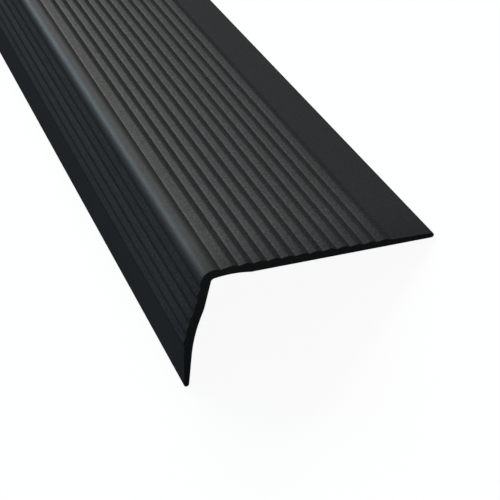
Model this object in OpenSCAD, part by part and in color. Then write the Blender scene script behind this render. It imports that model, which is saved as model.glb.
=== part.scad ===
// Flexible stair nosing: one extruded strip of L section, with a ribbed tread leaf, a rounded nose and a
// ribbed riser leaf that flares a little. The ribs are low waves: each rises away from the nose along a flat
// face, rolls over its crest and falls down a short flank. The strip lies as it does on a floor: on the free
// edges of its two leaves, with the nose up. The section is drawn as fitted, with the tread level, and is then
// tilted to that pose.

/* [Strip] */
// Length of the strip
length = 1000; // [200:10:3000]

/* [Tread leaf] */
// Thickness of the tread leaf at its rounded back edge
back_edge_t = 1.5; // [1:0.1:1.8]
// Thickness of the tread leaf up to the line of its crests, at the back edge
tread_t = 2; // [1.9:0.05:4]
// Rise of the line of crests towards the nose
tread_rise = 1.1; // [0:0.1:2]
// Slope at which that line falls to the nose
crown_lean = 5; // [1:0.5:8]
// Length over which the rise turns into that slope
crown_len = 10; // [6:0.5:20]
// Ribs on the tread, behind the nose
tread_ribs = 12; // [4:1:20]
// Spacing of the tread's ribs
tread_pitch = 3.97; // [3:0.01:6]
// Width of the first rib behind the nose, which is the widest
lead_pitch = 5.1; // [3.8:0.05:7]
// Width of the last rib, beside the smooth strip
last_pitch = 4.2; // [3.2:0.05:7]
// Width of the smooth strip along the back edge
strip_w = 12.95; // [4:0.05:40]

/* [Riser leaf] */
// Thickness of the riser leaf at the crests of its ribs
riser_t = 2.95; // [2.6:0.05:4]
// Thickness of the riser leaf at its rounded lower edge
lower_edge_t = 1.5; // [0.8:0.1:2]
// Ribs on the riser, below the nose
riser_ribs = 5; // [3:1:12]
// Spacing of the riser's ribs
riser_pitch = 3.6; // [3:0.05:6]
// Width of the smooth flap along the lower edge
flap_w = 13.05; // [4:0.05:30]
// Lean of the riser below the nose, outwards from square to the tread
root_lean = 13.5; // [0:0.5:16]
// Greatest lean of the riser, at the middle of its ribs
flare_lean = 22; // [16:0.5:30]
// Lean of the flap
flap_lean = 5.5; // [0:0.5:14]
// Straight length of the riser between the nose's round and the flare
root_len = 6.7; // [2:0.1:8]
// Length over which the lean grows
flare_len = 2.6; // [1:0.1:6]
// Length over which the lean falls back to that of the flap
return_len = 13.8; // [6:0.1:18]

/* [Nose] */
// Outer radius of the nose
nose_r = 3.8; // [3:0.1:6]
// Distance of the first tread groove from the edge where the two outer faces would meet
nose_tread = 5; // [4:0.05:7]
// Distance of the first riser groove from the same edge
nose_riser = 4.8; // [4:0.1:7]
// Radius with which the nose rolls into its tread groove
tread_roll_r = 5; // [1:0.1:6]
// Radius with which the nose rolls into its riser groove
riser_roll_r = 1.8; // [0.6:0.1:2.5]
// Radius inside the corner, over the stair's edge
inner_r = 1.2; // [0.5:0.1:3]
// Width of the shallow hollow under the tread, behind the corner
hollow_w = 11; // [6:0.5:20]
// Depth of that hollow
hollow_h = 0.5; // [0.1:0.05:0.8]

/* [Ribs] */
// Height of a rib's crest over its grooves
rib_h = 0.42; // [0.2:0.02:0.6]
// Radius of the crest
crest_r = 1.8; // [0.5:0.1:3]
// Slope of the flank that falls from the crest, away from the nose
flank_slope = 22; // [18:1:45]
// Flat width of a groove's floor
floor_w = 0.2; // [0.1:0.05:0.6]

/* [Hidden] */
// Straight pieces along each kind of round
crest_steps = 6;
roll_steps = 5;
nose_steps = 12;
inner_steps = 6;
hollow_steps = 6;
flare_steps = 3;
return_steps = 8;
edge_steps = 8;

back_r = back_edge_t / 2;
lower_r = lower_edge_t / 2;
nose_turn = 90 - root_lean - crown_lean;
nose_run = nose_r * tan(nose_turn / 2);
nose_arc = nose_r * nose_turn * PI / 180;

// Groove places, counted from the edge where the two outer faces would meet; past the last one of each leaf
// comes its smooth part
tread_grooves = [for (k = [0 : tread_ribs])
    nose_tread + (k == 0 ? 0 : lead_pitch + min(k - 1, tread_ribs - 2) * tread_pitch)
        + (k == tread_ribs ? last_pitch : 0)];
riser_grooves = [for (k = [0 : riser_ribs]) nose_riser + k * riser_pitch];
tread_depth = tread_grooves[tread_ribs] + strip_w;
riser_depth = riser_grooves[riser_ribs] + flap_w;

// The crests as one line from the back edge over the nose to the lower edge: [length, turn] of each stretch
stretches = [
    [tread_depth - nose_run - crown_len, 0],
    [crown_len, tread_rise + crown_lean],
    [nose_arc, nose_turn],
    [root_len, 0],
    [flare_len, root_lean - flare_lean],
    [return_len, flare_lean - flap_lean],
    [riser_depth, 0]];
nose_start = tread_depth - nose_run;
riser_start = nose_start - nose_run + nose_arc;
flare_start = nose_start + nose_arc + root_len;
return_start = flare_start + flare_len;
return_end = return_start + return_len;
line_end = riser_start + riser_depth;

// Place and heading after d millimetres of a stretch: a straight line, or an arc of the stretch's own turn
function along(place, stretch, d) =
    stretch[1] == 0
        ? [place[0] + d * cos(place[2]), place[1] + d * sin(place[2]), place[2]]
        : let (heading = place[2] + stretch[1] * d / stretch[0], r = stretch[0] * 180 / (PI * stretch[1]))
          [place[0] + r * (sin(heading) - sin(place[2])), place[1] + r * (cos(place[2]) - cos(heading)), heading];

// Place and heading at distance s along the line of crests
function line_at(s, i = 0, place = [tread_depth, 0, 180 - tread_rise]) =
    s <= stretches[i][0] || i == len(stretches) - 1
        ? along(place, stretches[i], s)
        : line_at(s - stretches[i][0], i + 1, along(place, stretches[i], stretches[i][0]));

// Point that lies a depth below the line of crests
function under(s, depth) =
    let (place = line_at(s))
    [place[0] - depth * sin(place[2]), place[1] + depth * cos(place[2])];

function backwards(list) = [for (k = [len(list) - 1 : -1 : 0]) list[k]];

// Round that rolls over its top, by an angle before it and one past it, as [place, depth]
function roll(top, r, before, past, steps) =
    [for (k = [0 : steps]) let (a = (past + before) * k / steps - before) [top + r * sin(a), r * (1 - cos(a))]];

// Slope at which a round of radius r falls into a groove, and how far past its top it gets there
function fall(r) = min(flank_slope, acos(max(0, 1 - rib_h / r)));
function past(r) = r * sin(fall(r)) + (rib_h - r * (1 - cos(fall(r)))) / tan(fall(r));

// Foot of the flank, which is left out where the round itself reaches the groove
function flank_foot(to, r) = fall(r) < flank_slope ? [] : [[to - floor_w / 2, rib_h]];

// A rib between two grooves: a flat face that rises from the first one to touch the crest, and a steeper flank
// that falls from the crest into the second. The crest takes up at most half of the rib.
function rib(from, to) =
    let (wide = to - from - floor_w,
         r = min(crest_r, (wide * wide / 4 + rib_h * rib_h) / (2 * rib_h)),
         reach = max(wide / 2, wide - past(r)),
         rise = asin(min(1, r / norm([reach, r - rib_h]))) - atan2(r - rib_h, reach),
         start = from + floor_w / 2)
    concat(
        [[start, rib_h]],
        roll(start + reach, r, rise, fall(r), crest_steps),
        flank_foot(to, r));

// The nose's own round, falling into its first groove
function nose_roll(to, r) =
    concat(roll(to - floor_w / 2 - past(r), r, 0, fall(r), roll_steps), flank_foot(to, r));

// Points of an arc, from one angle to another
function arc(centre, r, from, to, steps) =
    [for (k = [0 : steps]) let (a = from + (to - from) * k / steps) centre + r * [cos(a), sin(a)]];

function flat(lists) = [for (list = lists) each list];

// The two leaves as [distance from the edge where the outer faces would meet, depth]
tread_wave = concat(
    nose_roll(tread_grooves[0], tread_roll_r),
    flat([for (k = [1 : tread_ribs]) rib(tread_grooves[k - 1], tread_grooves[k])]),
    [[tread_depth - back_r, tread_t - back_edge_t]]);
riser_wave = concat(
    nose_roll(riser_grooves[0], riser_roll_r),
    flat([for (k = [1 : riser_ribs]) rib(riser_grooves[k - 1], riser_grooves[k])]));

// Outer face as [s, depth]: back strip, tread ribs, nose, riser ribs, flap
tread_side = backwards([for (p = tread_wave) [tread_depth - p[0], p[1]]]);
riser_side = [for (p = riser_wave) [riser_start + p[0], p[1]]];
nose_from = tread_side[len(tread_side) - 1][0];
nose_to = riser_side[0][0];
flap_from = riser_side[len(riser_side) - 1][0];
flap_to = line_end - lower_r;
flap_taper = (riser_t - lower_edge_t - rib_h) / (flap_to - flap_from);
outer_face = concat(
    tread_side,
    [for (k = [1 : nose_steps - 1]) [nose_from + (nose_to - nose_from) * k / nose_steps, 0]],
    riser_side,
    [for (k = [1 : return_steps])
        let (s = flap_from + (flap_to - flap_from) * k / return_steps)
        [s, rib_h + flap_taper * (s - flap_from)]]);

// Inside face of the riser, from its lower edge up to the straight root
inside_s = concat(
    [flap_to],
    return_end < flap_to ? [return_end] : [],
    [for (k = [return_steps - 1 : -1 : 0]) return_start + return_len * k / return_steps],
    [for (k = [flare_steps - 1 : -1 : 0]) flare_start + flare_len * k / flare_steps]);
riser_inside = [for (s = inside_s) if (s <= flap_to) under(s, riser_t)];

// Corner where the outer faces would meet, the one inside it, and the round and the hollow that start there
nose_place = line_at(nose_start);
corner = [nose_place[0], nose_place[1]] + nose_run * [cos(nose_place[2]), sin(nose_place[2])];
inner_corner = [
    corner[0] + (riser_t - (corner[1] + tread_t) * sin(root_lean)) / cos(root_lean),
    -tread_t];
hollow_turn = 2 * atan(2 * hollow_h / hollow_w);
hollow_r = hollow_w / 2 / sin(hollow_turn);
hollow_centre = inner_corner + [hollow_w / 2, hollow_h - hollow_r];
inner_run = inner_r / tan((90 + root_lean + hollow_turn) / 2);
inner_centre = inner_corner
    + inner_run * [cos(hollow_turn), sin(hollow_turn)]
    + inner_r * [sin(hollow_turn), -cos(hollow_turn)];
hollow_from = 90 + hollow_turn - inner_run / hollow_r * 180 / PI;
hollow = arc(hollow_centre, hollow_r, hollow_from, 90 - hollow_turn, hollow_steps);

// Centres of the rounds at the two free edges
back_edge = [tread_depth - back_r, back_r - tread_t];
lower_edge = under(flap_to, riser_t - lower_r);
lower_heading = line_at(flap_to)[2];

// The section as fitted on a stair, with the tread level
section = concat(
    [for (p = outer_face) under(p[0], p[1])],
    [for (k = [1 : edge_steps - 1])
        let (a = lower_heading - 90 + 180 * k / edge_steps) lower_edge + lower_r * [cos(a), sin(a)]],
    riser_inside,
    arc(inner_centre, inner_r, 180 - root_lean, 90 + hollow_turn, inner_steps),
    [for (k = [1 : hollow_steps]) hollow[k]],
    arc(back_edge, back_r, -90, 90 - 180 / edge_steps, edge_steps - 1));

// Tilt at which both free edges touch the floor, and the section turned by it and set on the origin
edges_apart = back_edge - lower_edge;
rest_tilt = atan2(edges_apart[1], edges_apart[0]) - asin((back_r - lower_r) / norm(edges_apart));
function tilted(p) = [p[0] * cos(rest_tilt) + p[1] * sin(rest_tilt), p[1] * cos(rest_tilt) - p[0] * sin(rest_tilt)];
rest_section = [for (p = section) tilted(p)];
rest_x = [for (p = rest_section) p[0]];
rest_z = [for (p = rest_section) p[1]];
rest_origin = [(min(rest_x) + max(rest_x)) / 2, min(rest_z)];

module nosing_strip() {
    color("#3f4143")
        rotate([90, 0, 0])
            linear_extrude(length, center = true)
                polygon([for (p = rest_section) p - rest_origin]);
}

nosing_strip();
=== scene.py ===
"""Stair nosing: the ribbed rubber strip as a fine sweep of its section, its finishes and its studio."""

import bpy
import numpy as np
from bpy.props import FloatProperty, FloatVectorProperty, IntProperty, PointerProperty
from math import radians
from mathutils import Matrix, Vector
from types import SimpleNamespace


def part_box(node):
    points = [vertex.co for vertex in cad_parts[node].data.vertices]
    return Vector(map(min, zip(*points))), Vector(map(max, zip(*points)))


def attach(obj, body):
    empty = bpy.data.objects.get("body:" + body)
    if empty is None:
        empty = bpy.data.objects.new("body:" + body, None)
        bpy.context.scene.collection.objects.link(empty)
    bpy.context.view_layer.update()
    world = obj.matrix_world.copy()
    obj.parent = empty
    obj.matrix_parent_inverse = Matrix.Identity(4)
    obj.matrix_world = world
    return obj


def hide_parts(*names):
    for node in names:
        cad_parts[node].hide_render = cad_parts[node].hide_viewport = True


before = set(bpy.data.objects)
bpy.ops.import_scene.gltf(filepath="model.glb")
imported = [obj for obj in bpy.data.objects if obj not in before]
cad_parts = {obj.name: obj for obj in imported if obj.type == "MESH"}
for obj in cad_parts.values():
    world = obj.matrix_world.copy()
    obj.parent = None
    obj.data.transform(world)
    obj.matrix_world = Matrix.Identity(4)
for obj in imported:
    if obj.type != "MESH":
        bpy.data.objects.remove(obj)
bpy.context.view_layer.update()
STRIP_LOW, STRIP_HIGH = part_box("nosing_strip")

bl_info = {
    "name": "Stair nosing",
    "version": (1, 0, 0),
    "blender": (4, 5, 0),
    "location": "3D View > Sidebar > Nosing",
    "description": "Builds a ribbed rubber stair nosing and the studio that shows it",
    "category": "Object",
}

QUARTER = radians(90)
WHITE = (1.0, 1.0, 1.0, 1.0)

# Rows between the two ends of each stretch of the outline
FACE_ROWS = 11
FLANK_ROWS = 3
STRIP_ROWS = 24
NOSE_ROWS = 40
FLAP_ROWS = 30
UNDERSIDE_ROWS = 30

# Points along each round of the outline and along the riser's inside, with both ends
CREST_POINTS = 13
LOWER_EDGE_POINTS = 21
RISER_INSIDE_POINTS = 60
CORNER_POINTS = 17
HOLLOW_POINTS = 25
BACK_EDGE_POINTS = 25

# Rings along the round of a cut end and along the length between the two, with both ends
CUT_RINGS = 5
LENGTH_RINGS = 62

# Distance, in metres, under which two rows of the outline are one
SAME_ROW = 1e-8

# Middle of each gloss on the nose and its widths towards the tread and towards the riser, as shares of the
# way over the nose from its tread groove to its riser groove
NOSE_GLOSS = (0.57, 0.15, 0.18)
ROLL_GLOSS = (0.285, 0.19, 0.19)


def length(name, description, default):
    """A length in metres for a property group."""
    return FloatProperty(
        name=name, description=description, default=default, min=0.0, unit="LENGTH", precision=5)


def angle(name, description, degrees):
    """An angle for a property group, given in degrees."""
    return FloatProperty(name=name, description=description, default=radians(degrees), subtype="ANGLE")


def count(name, description, default):
    """A number of ribs for a property group."""
    return IntProperty(name=name, description=description, default=default, min=3)


def colour(name, description, default):
    """A colour for a property group, in linear light."""
    return FloatVectorProperty(
        name=name, description=description, default=default, size=3, min=0.0, max=1.0, subtype="COLOR")


def level(name, description, default, top=1.0):
    """A plain number from 0 to top for a property group."""
    return FloatProperty(name=name, description=description, default=default, min=0.0, max=top, precision=3)


def power(name, description, default):
    """A lamp's power in watts for a property group."""
    return FloatProperty(name=name, description=description, default=default, min=0.0, unit="POWER")


def position(name, description, default):
    """A place in metres for a property group."""
    return FloatVectorProperty(
        name=name, description=description, default=default, size=3, subtype="TRANSLATION", precision=5)


class NosingSection(bpy.types.PropertyGroup):
    """Sizes of the strip's section, the same as the solid's."""

    length: length("Length", "Length of the strip", STRIP_HIGH[1] - STRIP_LOW[1])
    back_edge_t: length("Back edge", "Thickness of the tread leaf at its rounded back edge", 0.0015)
    tread_t: length("Tread thickness", "Thickness up to the line of crests, at the back edge", 0.002)
    tread_rise: angle("Tread rise", "Rise of the line of crests towards the nose", 1.1)
    crown_lean: angle("Crown lean", "Slope at which that line falls to the nose", 5.0)
    crown_len: length("Crown length", "Length over which the rise turns into that slope", 0.01)
    tread_ribs: count("Tread ribs", "Ribs on the tread behind the nose", 12)
    tread_pitch: length("Tread pitch", "Spacing of the tread's ribs", 0.00397)
    lead_pitch: length("Lead pitch", "Width of the first rib behind the nose", 0.0051)
    last_pitch: length("Last pitch", "Width of the last rib, beside the smooth strip", 0.0042)
    strip_w: length("Strip width", "Width of the smooth strip along the back edge", 0.01295)
    riser_t: length("Riser thickness", "Thickness of the riser leaf at the crests of its ribs", 0.00295)
    lower_edge_t: length("Lower edge", "Thickness of the riser leaf at its rounded lower edge", 0.0015)
    riser_ribs: count("Riser ribs", "Ribs on the riser below the nose", 5)
    riser_pitch: length("Riser pitch", "Spacing of the riser's ribs", 0.0036)
    flap_w: length("Flap width", "Width of the smooth flap along the lower edge", 0.01305)
    root_lean: angle("Root lean", "Lean of the riser below the nose, outwards from square", 13.5)
    flare_lean: angle("Flare lean", "Greatest lean of the riser, at the middle of its ribs", 22.0)
    flap_lean: angle("Flap lean", "Lean of the flap", 5.5)
    root_len: length("Root length", "Straight length between the nose's round and the flare", 0.0067)
    flare_len: length("Flare length", "Length over which the lean grows", 0.0026)
    return_len: length("Return length", "Length over which the lean falls back to the flap's", 0.0138)
    nose_r: length("Nose radius", "Outer radius of the nose", 0.0038)
    nose_tread: length("Nose on tread", "First tread groove, from the edge where the faces meet", 0.005)
    nose_riser: length("Nose on riser", "First riser groove, from the same edge", 0.0048)
    tread_roll_r: length("Tread roll", "Radius with which the nose rolls into its tread groove", 0.005)
    riser_roll_r: length("Riser roll", "Radius with which the nose rolls into its riser groove", 0.0018)
    inner_r: length("Inner radius", "Radius inside the corner", 0.0012)
    hollow_w: length("Hollow width", "Width of the shallow hollow under the tread, by the corner", 0.011)
    hollow_h: length("Hollow depth", "Depth of that hollow", 0.0005)
    rib_h: length("Rib height", "Height of a rib's crest over its grooves", 0.00042)
    crest_r: length("Crest radius", "Radius of a rib's crest", 0.0018)
    flank_slope: angle("Flank slope", "Slope of the flank that falls away from the nose", 22.0)
    floor_w: length("Groove floor", "Flat width of a groove's floor", 0.0002)
    cut_round: length("Cut edge round", "Tiny round along the edges of the cut ends", 0.0001)


class NosingFinish(bpy.types.PropertyGroup):
    """Colours, grain and gloss of the rubber, and the painted shade in the riser's grooves."""

    skin_colour: colour("Skin colour", "Rubber of the extruded skin", (0.0233, 0.0238, 0.0246))
    skin_rough: level("Skin roughness", "Roughness of the skin", 0.7)
    gloss_rough: level("Gloss roughness", "Roughness of the skin's gloss", 0.5)
    grain: length("Grain", "Size of the grain in the skin", 0.0006)
    rib_grain: level("Rib grain", "Strength of the grain on the ribs", 1.7, top=4.0)
    smooth_grain: level("Smooth grain", "Strength of the grain on strip, nose and flap", 0.8, top=4.0)
    nose_polish: level("Nose polish", "Gloss on the nose", 0.265)
    roll_polish: level("Roll polish", "Gloss where the nose rolls towards the tread", 0.085)
    front_polish: level("Front polish", "Gloss of the tread's rib tops next to the nose", 0.081)
    back_polish: level("Back polish", "Gloss of the tread's rib tops at the back", 0.044)
    strip_polish: level("Strip polish", "Gloss of the smooth strip", 0.0195)
    riser_polish: level("Riser polish", "Gloss of the riser's rib tops", 0.057)
    lip_polish: level("Lip polish", "Gloss added along the foot of each rib's face on the tread", 0.09)
    lip_w: length("Lip width", "Width over which that gloss dies off", 0.00035)
    tread_dull: length("Dull on tread", "Width without gloss beside each groove of the tread", 0.0017)
    riser_dull: length("Dull on riser", "Width without gloss beside each groove of the riser", 0.0009)
    fade_w: length("Fade width", "Width over which a rib's gloss fades", 0.0005)
    # Painted shade: the riser's grooves are darkened in the base colour by this share.
    painted_groove_shade: level("Groove dark", "Share by which the riser's grooves are darker than its ribs", 0.25)
    groove_w: length("Groove width", "Width over which that darkness dies off", 0.0003)
    cut_colour: colour("Cut colour", "Rubber where a knife has cut it", (0.0145, 0.0145, 0.0145))
    cut_rough: level("Cut roughness", "Roughness of the cut ends", 0.8)
    cut_grain: length("Cut grain", "Size of the grain in the cut ends", 0.0008)
    cut_mottle: level("Cut mottle", "Strength of the grain in the cut ends", 0.8, top=4.0)


class NosingStage(bpy.types.PropertyGroup):
    """Floor, light and camera."""

    floor: length("Floor", "Side of the square floor", 40.0)
    floor_colour: colour("Floor colour", "Colour of the floor under the lamps", (0.95, 0.95, 0.95))
    floor_white: level("Floor white", "Share of plain white in the floor as it is seen", 0.94)
    ambient: level("Ambient", "Level of the light from all round", 0.2)
    ambient_tint: colour("Ambient tint", "Tint of the light from all round", (0.84, 0.94, 1.0))
    lamp_size: length("Lamp size", "Side of each square lamp", 1.6)
    nose_lamp: power("Nose lamp", "Cool lamp beyond the far end, on the riser's side", 160.0)
    nose_lamp_at: position("Nose lamp's place", "Where the cool lamp stands", (-0.736, 3.24, 2.232))
    nose_lamp_tint: colour("Nose lamp's tint", "Tint of the cool lamp", (0.66, 0.88, 1.0))
    tread_lamp: power("Tread lamp", "Warm lamp beyond the far end, on the tread's side", 204.0)
    tread_lamp_at: position("Tread lamp's place", "Where the warm lamp stands", (1.152, 3.232, 2.044))
    tread_lamp_tint: colour("Tread lamp's tint", "Tint of the warm lamp", (1.0, 0.95, 0.885))
    lens: FloatProperty(name="Lens", description="Camera's focal length", default=100.085, unit="CAMERA")
    sensor: FloatProperty(name="Sensor", description="Camera's sensor width", default=36.0, unit="CAMERA")
    eye: position("Camera place", "Where the camera stands", (-0.028134, -0.789751, 0.243612))
    turn: FloatVectorProperty(
        name="Camera turn", description="How the camera is turned", size=3, subtype="EULER",
        default=(radians(49.85226), radians(22.64642), radians(-22.24723)))


class NosingSettings(bpy.types.PropertyGroup):
    """All settings of the stair nosing."""

    section: PointerProperty(type=NosingSection)
    finish: PointerProperty(type=NosingFinish)
    stage: PointerProperty(type=NosingStage)


def crest_line(p):
    """The line of the crests, which runs from the back edge over the nose to the lower edge.

    Its stretches, each with a length and a turn, are the tread's rise, the crown, the nose, the riser's root,
    its flare, its return and the flap. The grooves and the depths of the leaves are measured from the edge
    where the two faces would meet without the nose's round, and the other places from the back edge.
    """
    line = SimpleNamespace()
    widths = [p.nose_tread, p.lead_pitch] + [p.tread_pitch] * (p.tread_ribs - 2) + [p.last_pitch]
    line.tread_grooves = np.cumsum(widths)
    line.riser_grooves = p.nose_riser + p.riser_pitch * np.arange(p.riser_ribs + 1)
    line.tread_depth = line.tread_grooves[-1] + p.strip_w
    line.riser_depth = line.riser_grooves[-1] + p.flap_w
    nose_turn = QUARTER - p.root_lean - p.crown_lean
    nose_arc = p.nose_r * nose_turn
    line.nose_run = p.nose_r * np.tan(nose_turn / 2)
    line.nose_at = line.tread_depth - line.nose_run
    line.riser_at = line.nose_at - line.nose_run + nose_arc
    line.flare_at = line.nose_at + nose_arc + p.root_len
    line.flap_end = line.riser_at + line.riser_depth - p.lower_edge_t / 2
    line.start = (line.tread_depth, 0.0)
    line.heading = 2 * QUARTER - p.tread_rise
    line.stretches = np.array([
        (line.nose_at - p.crown_len, 0.0),
        (p.crown_len, p.tread_rise + p.crown_lean),
        (nose_arc, nose_turn),
        (p.root_len, 0.0),
        (p.flare_len, p.root_lean - p.flare_lean),
        (p.return_len, p.flare_lean - p.flap_lean),
        (line.riser_depth, 0.0)])
    return line


def follow(line, s):
    """Places and headings at distances s along the line of crests.

    The heading grows evenly along a stretch, so it is a straight line where the turn is nil and otherwise an
    arc of radius length / turn. The chord to a place on it points along the mean of the headings at its ends.
    """
    lengths, turns = line.stretches.T
    bends = turns / lengths
    begins = np.cumsum(lengths) - lengths
    headings = line.heading + np.cumsum(turns) - turns

    def step(d, heading, bend):
        half = bend * d / 2
        chord = d * np.sinc(half / np.pi)
        return np.stack([chord * np.cos(heading + half), chord * np.sin(heading + half)], axis=-1)

    hops = step(lengths, headings, bends)
    places = line.start + np.cumsum(hops, axis=0) - hops
    k = np.clip(np.searchsorted(begins, s, side="right") - 1, 0, len(lengths) - 1)
    d = s - begins[k]
    return places[k] + step(d, headings[k], bends[k]), headings[k] + bends[k] * d


def under(line, s, depth):
    """Points a depth below the line of crests, square to it, at distances s along it."""
    place, heading = follow(line, s)
    return place + np.stack([-depth * np.sin(heading), depth * np.cos(heading)], axis=-1)


def run(a, b, rows):
    """Evenly spaced rows strictly between two of them."""
    w = np.linspace(0, 1, rows + 2)[1:-1, None]
    return np.array(a) + (np.array(b) - np.array(a)) * w


def roll(top, r, before, past):
    """Rows along a round that rolls over its top, by an angle before it and one past it."""
    a = np.linspace(-before, past, CREST_POINTS)
    return np.stack([top + r * np.sin(a), r * (1 - np.cos(a))], axis=1)


def arc(centre, r, a, b, points):
    """Points of an arc from one angle to another."""
    w = np.linspace(a, b, points)
    return centre + r * np.stack([np.cos(w), np.sin(w)], axis=1)


def fall(p, r):
    """Slope at which a round of radius r falls into a groove, and how far past its top it gets there."""
    slope = min(p.flank_slope, np.arccos(max(0.0, 1 - p.rib_h / r)))
    return slope, r * np.sin(slope) + (p.rib_h - r * (1 - np.cos(slope))) / np.tan(slope)


def nose_roll(p, groove, r):
    """Rows of the nose's own round, falling into its first groove."""
    slope, past = fall(p, r)
    heel = [groove - p.floor_w / 2, p.rib_h]
    crest = roll(heel[0] - past, r, 0.0, slope)
    return np.concatenate([crest, run(crest[-1], heel, FLANK_ROWS), [heel]])


def rib(p, start, end):
    """Rows of a rib between two grooves, as place and depth.

    A flat face rises from the first groove's floor until it touches the crest, a round whose steeper flank
    falls into the second groove. The face is the tangent from the floor's edge to the crest's circle.
    """
    wide = end - start - p.floor_w
    r = min(p.crest_r, (wide ** 2 / 4 + p.rib_h ** 2) / (2 * p.rib_h))
    slope, past = fall(p, r)
    reach = max(wide / 2, wide - past)
    rise = np.arcsin(min(1.0, r / np.hypot(reach, r - p.rib_h))) - np.arctan2(r - p.rib_h, reach)
    foot = [start + p.floor_w / 2, p.rib_h]
    heel = [end - p.floor_w / 2, p.rib_h]
    crest = roll(foot[0] + reach, r, rise, slope)
    face = run(foot, crest[0], FACE_ROWS)
    flank = run(crest[-1], heel, FLANK_ROWS)
    return np.concatenate([[foot], face, crest, flank, [heel]])


def leaf_rows(p, grooves, roll_r, end, smooth_rows):
    """Rows of a leaf's outer face from the nose's roll over the ribs to the end of its smooth part."""
    ribs = [rib(p, a, b) for a, b in zip(grooves, grooves[1:])]
    rows = np.concatenate([nose_roll(p, grooves[0], roll_r)] + ribs)
    return np.concatenate([rows, run(rows[-1], end, smooth_rows), [end]])


def outer_rows(p, line):
    """Rows of the outer face from the back edge to the lower edge, as distance along the line and depth."""
    tread_end = [line.tread_depth - p.back_edge_t / 2, p.tread_t - p.back_edge_t]
    riser_end = [line.riser_depth - p.lower_edge_t / 2, p.riser_t - p.lower_edge_t]
    tread = leaf_rows(p, line.tread_grooves, p.tread_roll_r, tread_end, STRIP_ROWS)
    riser = leaf_rows(p, line.riser_grooves, p.riser_roll_r, riser_end, FLAP_ROWS)
    tread = tread[::-1] * [-1, 1] + [line.tread_depth, 0]
    riser = riser + [line.riser_at, 0]
    rows = np.concatenate([tread, run(tread[-1], riser[0], NOSE_ROWS), riser])
    apart = np.abs(np.diff(rows, axis=0)).sum(axis=1)
    return rows[np.append(True, apart > SAME_ROW)]


def corner_points(p, line):
    """Points of the round inside the corner and of the hollow behind it.

    The hollow is a shallow arc under the tread. The round touches the riser's inside and the hollow's tangent
    at the corner.
    """
    place, heading = follow(line, np.array([line.nose_at]))
    edge = place[0] + line.nose_run * np.array([np.cos(heading[0]), np.sin(heading[0])])
    across = (p.riser_t - (edge[1] + p.tread_t) * np.sin(p.root_lean)) / np.cos(p.root_lean)
    corner = np.array([edge[0] + across, -p.tread_t])
    bend = 2 * np.arctan(2 * p.hollow_h / p.hollow_w)
    hollow_r = p.hollow_w / 2 / np.sin(bend)
    short = p.inner_r / np.tan((QUARTER + p.root_lean + bend) / 2)
    ahead = np.array([np.cos(bend), np.sin(bend)])
    aside = np.array([np.sin(bend), -np.cos(bend)])
    centre = corner + short * ahead + p.inner_r * aside
    inner_round = arc(centre, p.inner_r, 2 * QUARTER - p.root_lean, QUARTER + bend, CORNER_POINTS)
    middle = corner + [p.hollow_w / 2, p.hollow_h - hollow_r]
    hollow = arc(middle, hollow_r, QUARTER + bend - short / hollow_r, QUARTER - bend, HOLLOW_POINTS)
    return np.concatenate([inner_round, hollow[1:]])


def at_rest(outline, back, lower, p):
    """The outline turned until its two free edges touch the floor, with its middle over the origin.

    The floor is the common tangent of the edges' half circles: the line between their centres, turned by the
    angle whose sine is the difference of the radii over the distance.
    """
    apart = back - lower
    radii = (p.back_edge_t - p.lower_edge_t) / 2
    tilt = np.arctan2(apart[1], apart[0]) - np.arcsin(radii / np.hypot(*apart))
    turn = np.array([[np.cos(tilt), -np.sin(tilt)], [np.sin(tilt), np.cos(tilt)]])
    outline = outline @ turn
    low = outline.min(axis=0)
    high = outline.max(axis=0)
    return outline - [(low[0] + high[0]) / 2, low[1]]


def bell(x, middle, before, after):
    """1 at the middle, then e to the minus square of the distance over the width before or after it."""
    return np.exp(-((x - middle) / np.where(x < middle, before, after)) ** 2)


def rib_gloss(s, grooves, dull, f):
    """Shares of a rib's gloss and of its lip's at distances s from the nose.

    The lip's is e to the minus distance from the groove before s over the lip's width. The rib's is nil up to
    the dull width from the groove behind s, and full once the fade's width is added.
    """
    k = np.clip(np.searchsorted(grooves, s) - 1, 0, len(grooves) - 2)
    lip = np.exp(-np.abs(s - grooves[k]) / f.lip_w)
    return np.clip((grooves[k + 1] - s - dull) / f.fade_w, 0, 1), lip


def groove_shade(s, grooves, f):
    """Painted shade for the grooves: 1 in the middle of a groove, then e to the minus square of the distance
    over the groove's width.
    """
    near = np.abs(s[:, None] - grooves[None]).min(axis=1)
    return np.exp(-(near / f.groove_w) ** 2)


def finish_masks(f, line, s):
    """Masks of the outer face at distances s along the line: ribs, gloss and the painted shade in the riser's
    grooves.

    The tread's rib tops grow evenly glossier from the strip to the nose, and the nose has two bells of gloss.
    """
    strip_to = line.tread_depth - line.tread_grooves[-1]
    nose_from = line.tread_depth - line.tread_grooves[0]
    nose_to = line.riser_at + line.riser_grooves[0]
    flap_from = line.riser_at + line.riser_grooves[-1]
    on_tread = (s > strip_to) & (s < nose_from)
    on_riser = (s > nose_to) & (s < flap_from)
    forward = np.clip((s - strip_to) / (nose_from - strip_to), 0, 1)
    over_nose = np.clip((s - nose_from) / (nose_to - nose_from), 0, 1)
    top = f.back_polish + (f.front_polish - f.back_polish) * forward
    tread_gloss, lip = rib_gloss(line.tread_depth - s, line.tread_grooves, f.tread_dull, f)
    riser_gloss = rib_gloss(s - line.riser_at, line.riser_grooves, f.riser_dull, f)[0]
    polish = on_tread * (tread_gloss * top + lip * f.lip_polish)
    polish += on_riser * riser_gloss * f.riser_polish
    polish += (s <= strip_to) * f.strip_polish
    polish += f.nose_polish * bell(over_nose, *NOSE_GLOSS)
    polish += f.roll_polish * bell(over_nose, *ROLL_GLOSS)
    return {
        "rib_top": 1.0 * (on_tread | on_riser),
        "polish": polish,
        # Painted shade in the riser's grooves, as a share taken off the base colour.
        "groove": f.painted_groove_shade * groove_shade(s - line.riser_at, line.riser_grooves[1:], f),
    }


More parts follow.
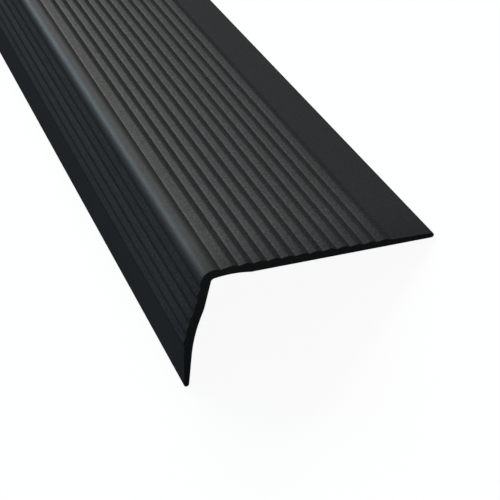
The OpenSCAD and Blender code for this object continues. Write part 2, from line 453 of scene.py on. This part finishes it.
def strip_section(p, f):
    """Closed outline of the section at rest, and its masks, which are nil away from the outer face.

    The outer face lies a depth below the line of crests, and the riser's inside a wall's thickness below it.
    Half circles close the two free edges, and the underside is level from the hollow to the back edge.
    """
    line = crest_line(p)
    rows = outer_rows(p, line)
    outer = under(line, rows[:, 0], rows[:, 1])
    back_r = p.back_edge_t / 2
    lower_r = p.lower_edge_t / 2
    back = np.array([line.tread_depth - back_r, back_r - p.tread_t])
    flap_end = np.array([line.flap_end])
    lower = under(line, flap_end, p.riser_t - lower_r)[0]
    heading = follow(line, flap_end)[1][0]
    lower_edge = arc(lower, lower_r, heading - QUARTER, heading + QUARTER, LOWER_EDGE_POINTS)[1:-1]
    riser_inside = under(line, np.linspace(line.flap_end, line.flare_at, RISER_INSIDE_POINTS), p.riser_t)
    corner = corner_points(p, line)
    underside = run(corner[-1], [back[0], -p.tread_t], UNDERSIDE_ROWS)
    back_edge = arc(back, back_r, -QUARTER, QUARTER, BACK_EDGE_POINTS)[:-1]
    outline = np.concatenate([outer, lower_edge, riser_inside, corner, underside, back_edge])
    others = len(outline) - len(outer)
    masks = {name: np.pad(mask, (0, others)) for name, mask in finish_masks(f, line, rows[:, 0]).items()}
    return at_rest(outline, back, lower, p), masks


def sweep_strip(name, p, f):
    """Mesh of the strip: its outline carried along the length and closed by the two cut faces.

    The rings run from end to end. Within the tiny round at each cut end the outline shrinks along its own
    normals by the round's radius less the height of a quarter circle.
    """
    outline, masks = strip_section(p, f)
    ahead = np.roll(outline, -1, axis=0) - np.roll(outline, 1, axis=0)
    inward = np.stack([-ahead[:, 1], ahead[:, 0]], axis=1)
    inward /= np.linalg.norm(inward, axis=1)[:, None]
    a = np.linspace(0, QUARTER, CUT_RINGS)
    near = -p.length / 2 + p.cut_round * (1 - np.cos(a))
    middle = np.linspace(near[-1], -near[-1], LENGTH_RINGS)[1:-1]
    y = np.concatenate([near, middle, -near[::-1]])
    shrink = p.cut_round * (1 - np.sin(a))
    shrink = np.concatenate([shrink, np.zeros(len(middle)), shrink[::-1]])
    flat = outline + inward * shrink[:, None, None]
    rings, points = flat.shape[:2]
    places = np.stack([flat[:, :, 0], np.repeat(y[:, None], points, axis=1), flat[:, :, 1]], axis=-1)

    index = np.arange(rings * points).reshape(rings, points)
    after = np.roll(index, -1, axis=1)
    quads = np.stack([index[:-1], after[:-1], after[1:], index[1:]], axis=-1).reshape(-1, 4)
    cut_faces = [index[0, ::-1].tolist(), index[-1].tolist()]
    mesh = bpy.data.meshes.new(name)
    mesh.from_pydata(places.reshape(-1, 3).tolist(), [], quads.tolist() + cut_faces)
    for mask, values in masks.items():
        layer = mesh.attributes.new(mask, "FLOAT", "POINT")
        layer.data.foreach_set("value", np.tile(values, rings).astype(np.float32))
    is_cut = np.arange(len(mesh.polygons)) >= len(quads)
    mesh.polygons.foreach_set("material_index", is_cut.astype(np.int32))
    mesh.polygons.foreach_set("use_smooth", ~is_cut)
    mesh.update()
    mesh.validate()
    return mesh


def add(tree, kind, inputs=None, **settings):
    """A node with its settings, and with its inputs linked from sockets or set to plain values."""
    node = tree.nodes.new(kind)
    for key, value in settings.items():
        setattr(node, key, value)
    for key, value in (inputs or {}).items():
        if isinstance(value, bpy.types.NodeSocket):
            tree.links.new(value, node.inputs[key])
        else:
            node.inputs[key].default_value = value
    return node


def maths(tree, operation, *terms):
    """Result of a Math node on sockets and numbers."""
    return add(tree, "ShaderNodeMath", dict(enumerate(terms)), operation=operation).outputs[0]


def mask_value(tree, name):
    """Value of one of the strip's masks."""
    return add(tree, "ShaderNodeAttribute", attribute_name=name).outputs["Fac"]


def grain_group():
    """Node group of fine rubber grain: noise less its mean of a half, times a depth, plus 1."""
    tree = bpy.data.node_groups.new("rubber_grain", "ShaderNodeTree")
    tree.interface.new_socket("Size", in_out="INPUT", socket_type="NodeSocketFloat")
    tree.interface.new_socket("Depth", in_out="INPUT", socket_type="NodeSocketFloat")
    tree.interface.new_socket("Speckle", in_out="OUTPUT", socket_type="NodeSocketFloat")
    given = add(tree, "NodeGroupInput").outputs
    place = add(tree, "ShaderNodeTexCoord").outputs["Object"]
    scale = maths(tree, "DIVIDE", 1.0, given["Size"])
    noise = add(
        tree, "ShaderNodeTexNoise", {"Vector": place, "Scale": scale, "Detail": 2.0, "Roughness": 0.6})
    centred = maths(tree, "SUBTRACT", noise.outputs["Fac"], 0.5)
    speckle = maths(tree, "MULTIPLY_ADD", centred, given["Depth"], 1.0)
    add(tree, "NodeGroupOutput", {"Speckle": speckle})
    return tree


def rubber_material(name, roughness):
    """A new material of matt rubber, with its node tree and its shader."""
    material = bpy.data.materials.new(name)
    material.use_nodes = True
    shader = material.node_tree.nodes["Principled BSDF"]
    shader.inputs["Roughness"].default_value = roughness
    shader.inputs["Specular IOR Level"].default_value = 0.0
    return material, material.node_tree, shader


def mottle(tree, shader, tint, tone):
    """Gives a shader a colour times a tone that changes over the surface."""
    scaled = add(tree, "ShaderNodeVectorMath", {0: tint, "Scale": tone}, operation="SCALE")
    tree.links.new(scaled.outputs["Vector"], shader.inputs["Base Color"])


def skin_material(f, grain):
    """Extruded skin: grained ribs, smooth strip and flap, a satin nose and painted shade that darkens the
    grooves on the riser.
    """
    material, tree, shader = rubber_material("nosing_skin", f.skin_rough)
    rib_top = mask_value(tree, "rib_top")
    depth = maths(tree, "MULTIPLY_ADD", rib_top, f.rib_grain - f.smooth_grain, f.smooth_grain)
    group = add(tree, "ShaderNodeGroup", {"Size": f.grain, "Depth": depth}, node_tree=grain)
    speckle = group.outputs["Speckle"]
    # Painted shade: the groove mask darkens the base colour in the riser's grooves.
    shade = maths(tree, "SUBTRACT", 1.0, mask_value(tree, "groove"))
    mottle(tree, shader, f.skin_colour, maths(tree, "MULTIPLY", speckle, shade))
    gloss = maths(tree, "MULTIPLY", mask_value(tree, "polish"), speckle)
    tree.links.new(gloss, shader.inputs["Coat Weight"])
    shader.inputs["Coat Roughness"].default_value = f.gloss_rough
    return material


def cut_material(f, grain):
    """Cut rubber: almost black, dull and a little mottled."""
    material, tree, shader = rubber_material("nosing_cut", f.cut_rough)
    group = add(tree, "ShaderNodeGroup", {"Size": f.cut_grain, "Depth": f.cut_mottle}, node_tree=grain)
    mottle(tree, shader, f.cut_colour, group.outputs["Speckle"])
    return material


def seen(tree):
    """1 for rays from the camera, a reflection or a transmission, else 0."""
    rays = add(tree, "ShaderNodeLightPath").outputs
    either = maths(tree, "MAXIMUM", rays["Is Camera Ray"], rays["Is Glossy Ray"])
    return maths(tree, "MAXIMUM", either, rays["Is Transmission Ray"])


def floor_material(stage):
    """Pale floor, seen as white apart from a soft shadow."""
    material = bpy.data.materials.new("pale_floor")
    material.use_nodes = True
    tree = material.node_tree
    tree.nodes.clear()
    pale = add(tree, "ShaderNodeBsdfDiffuse", {"Color": (*stage.floor_colour, 1.0)})
    white = add(tree, "ShaderNodeEmission", {"Color": WHITE, "Strength": 1.0})
    share = maths(tree, "MULTIPLY", seen(tree), stage.floor_white)
    mix = add(tree, "ShaderNodeMixShader", {0: share, 1: pale.outputs[0], 2: white.outputs[0]})
    add(tree, "ShaderNodeOutputMaterial", {"Surface": mix.outputs[0]})
    return material


def studio_world(stage):
    """World that lights the strip from all round and is seen as white."""
    world = bpy.data.worlds.new("studio")
    world.use_nodes = True
    tree = world.node_tree
    tree.nodes.clear()
    soft = add(
        tree, "ShaderNodeBackground", {"Color": (*stage.ambient_tint, 1.0), "Strength": stage.ambient})
    white = add(tree, "ShaderNodeBackground", {"Color": WHITE, "Strength": 1.0})
    mix = add(tree, "ShaderNodeMixShader", {0: seen(tree), 1: soft.outputs[0], 2: white.outputs[0]})
    add(tree, "ShaderNodeOutputWorld", {"Surface": mix.outputs[0]})
    return world


def soft_lamp(name, place, size, watts, tint):
    """Square area lamp that faces the middle of the strip."""
    light = bpy.data.lights.new(name, "AREA")
    light.shape = "SQUARE"
    light.size = size
    light.energy = watts
    light.color = tint
    lamp = bpy.data.objects.new(name, light)
    lamp.location = place
    lamp.rotation_mode = "QUATERNION"
    lamp.rotation_quaternion = (-Vector(place)).to_track_quat("-Z", "Y")
    lamp.visible_camera = False
    bpy.context.scene.collection.objects.link(lamp)


def pale_floor(stage):
    """Square floor on which the strip lies."""
    half = stage.floor / 2
    corners = [(-half, -half, 0), (half, -half, 0), (half, half, 0), (-half, half, 0)]
    mesh = bpy.data.meshes.new("floor")
    mesh.from_pydata(corners, [], [(0, 1, 2, 3)])
    mesh.materials.append(floor_material(stage))
    floor = bpy.data.objects.new("floor", mesh)
    bpy.context.scene.collection.objects.link(floor)


def studio_camera(stage):
    """Camera that looks down at one cut end."""
    camera = bpy.data.cameras.new("camera")
    camera.lens = stage.lens
    camera.sensor_width = stage.sensor
    eye = bpy.data.objects.new("camera", camera)
    eye.location = stage.eye
    eye.rotation_euler = stage.turn
    bpy.context.scene.collection.objects.link(eye)
    return eye


class NOSING_OT_strip(bpy.types.Operator):
    """Build the ribbed strip and dress it in rubber"""

    bl_idname = "nosing.strip"
    bl_label = "Build the strip"

    def execute(self, context):
        settings = context.scene.nosing
        mesh = sweep_strip("strip_skin", settings.section, settings.finish)
        grain = grain_group()
        mesh.materials.append(skin_material(settings.finish, grain))
        mesh.materials.append(cut_material(settings.finish, grain))
        strip = bpy.data.objects.new("strip_skin", mesh)
        context.scene.collection.objects.link(strip)
        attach(strip, "root")
        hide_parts("nosing_strip")
        return {"FINISHED"}


class NOSING_OT_stage(bpy.types.Operator):
    """Set up the floor, the light and the camera"""

    bl_idname = "nosing.stage"
    bl_label = "Set the stage"

    def execute(self, context):
        scene = context.scene
        stage = scene.nosing.stage
        pale_floor(stage)
        scene.world = studio_world(stage)
        size = stage.lamp_size
        soft_lamp("nose_lamp", stage.nose_lamp_at, size, stage.nose_lamp, stage.nose_lamp_tint)
        soft_lamp("tread_lamp", stage.tread_lamp_at, size, stage.tread_lamp, stage.tread_lamp_tint)
        scene.camera = studio_camera(stage)
        scene.view_settings.view_transform = "Standard"
        return {"FINISHED"}


class NOSING_PT_panel(bpy.types.Panel):
    """Sizes, finishes and stage of the stair nosing"""

    bl_idname = "NOSING_PT_panel"
    bl_label = "Stair nosing"
    bl_space_type = "VIEW_3D"
    bl_region_type = "UI"
    bl_category = "Nosing"

    def draw(self, context):
        settings = context.scene.nosing
        groups = {"Section": settings.section, "Finish": settings.finish, "Stage": settings.stage}
        for title, group in groups.items():
            box = self.layout.box()
            box.label(text=title)
            for key in group.__annotations__:
                box.prop(group, key)
        self.layout.operator(NOSING_OT_strip.bl_idname)
        self.layout.operator(NOSING_OT_stage.bl_idname)


CLASSES = (
    NosingSection, NosingFinish, NosingStage, NosingSettings,
    NOSING_OT_strip, NOSING_OT_stage, NOSING_PT_panel)


def register():
    """Register the classes and give the scene its settings."""
    for cls in CLASSES:
        bpy.utils.register_class(cls)
    bpy.types.Scene.nosing = PointerProperty(type=NosingSettings)


def unregister():
    """Take the settings and the classes away again."""
    del bpy.types.Scene.nosing
    for cls in reversed(CLASSES):
        bpy.utils.unregister_class(cls)


def main():
    """Build the strip and its stage."""
    register()
    bpy.ops.nosing.strip()
    bpy.ops.nosing.stage()


if __name__ == "__main__":
    main()
